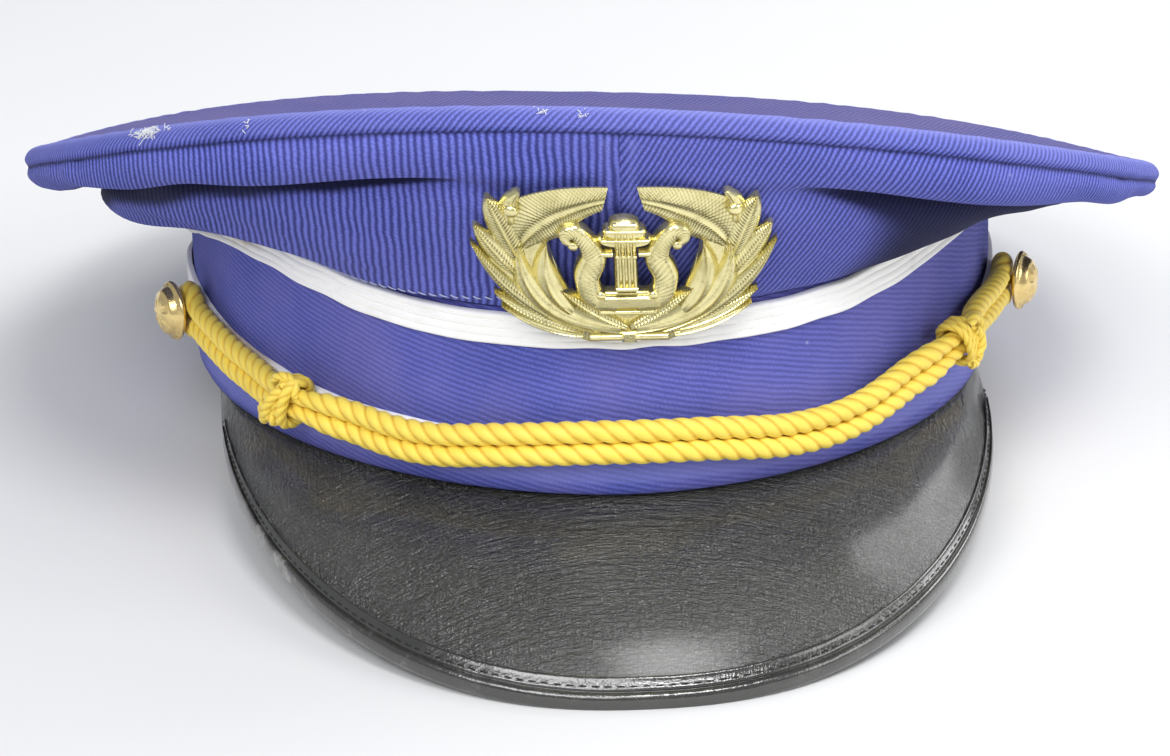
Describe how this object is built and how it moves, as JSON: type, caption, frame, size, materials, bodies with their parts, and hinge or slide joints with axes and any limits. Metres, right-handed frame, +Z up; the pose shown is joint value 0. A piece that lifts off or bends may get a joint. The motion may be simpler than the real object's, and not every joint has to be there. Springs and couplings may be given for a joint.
{
  "type": "peaked cap",
  "caption": "Cloth peaked cap with a wide slumped crown, head band with white braid, shiny black visor, twisted chin cord on domed buttons, and a pierced lyre-and-wreath badge.",
  "frame": {"origin": "middle of the cap's plan, on the surface that it rests on", "axes": "+Z up, -Y towards the badge and the peak, +X to the right as seen from the front"},
  "size_m": [0.2374, 0.2598, 0.1059],
  "materials": {
    "cloth": "ribbed violet-blue wool twill",
    "braid": "flat cream-white woven braid",
    "black_vinyl": "glossy black vinyl with a fine crackle",
    "gold_cord": "golden-yellow twisted rayon",
    "brass": "pale stamped brass"
  },
  "bodies": {
    "root": {"crown_top": "cloth", "quarter_front_left": "cloth", "quarter_front_right": "cloth", "quarter_rear_left": "cloth", "quarter_rear_right": "cloth", "band": "cloth", "braid_upper": "braid", "braid_lower": "braid", "peak": "black_vinyl", "peak_binding": "black_vinyl", "chin_cord": "gold_cord", "cord_knot_left": "gold_cord", "cord_knot_right": "gold_cord", "button_left": "brass", "button_right": "brass", "badge": "brass"}
  },
  "joints": []
}
